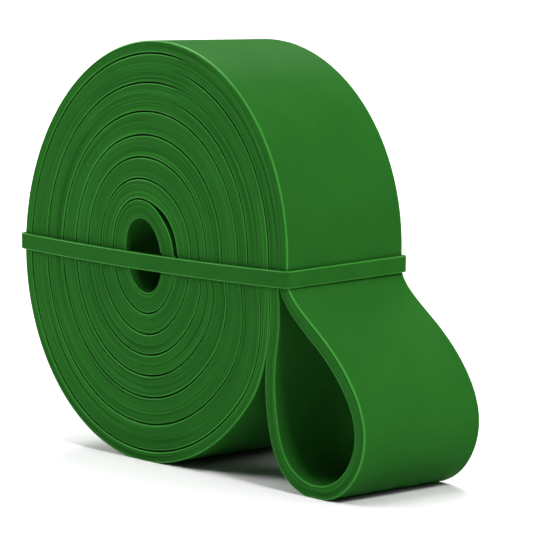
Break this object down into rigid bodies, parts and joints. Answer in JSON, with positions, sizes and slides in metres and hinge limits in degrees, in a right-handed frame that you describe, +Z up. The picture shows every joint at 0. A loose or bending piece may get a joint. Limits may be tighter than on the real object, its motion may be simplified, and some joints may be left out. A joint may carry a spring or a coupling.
{
  "type": "rolled resistance band",
  "caption": "Flat rubber loop band rolled up doubled around an open eye, its end loop standing out, held by a thin elastic strap.",
  "frame": {"origin": "middle of the ground box: centre of the object's length and width, on the surface it stands on", "axes": "+X from the roll to the end loop, Y along the roll's axis across the strip, +Z up"},
  "size_m": [0.1598, 0.048, 0.1274],
  "materials": {
    "band_rubber": "satin moulded latex, one green through all layers",
    "strap_rubber": "smooth satin latex, the same green"
  },
  "bodies": {
    "roll": {"rolled_band": "band_rubber"},
    "loop": {"end_loop": "band_rubber"},
    "strap": {"retaining_strap": "strap_rubber"}
  },
  "joints": [
    {"name": "end_loop_flex", "type": "hinge", "parent": "roll", "child": "loop", "pos_m": [0.04369, 0, 0.05711], "axis": [0, -1, 0], "range_deg": [0, 30], "stiffness_Nm_per_rad": 0.08},
    {"name": "strap_lift", "type": "slide", "parent": "roll", "child": "strap", "axis": [0, 0, 1], "range_m": [0, 0.075]}
  ]
}
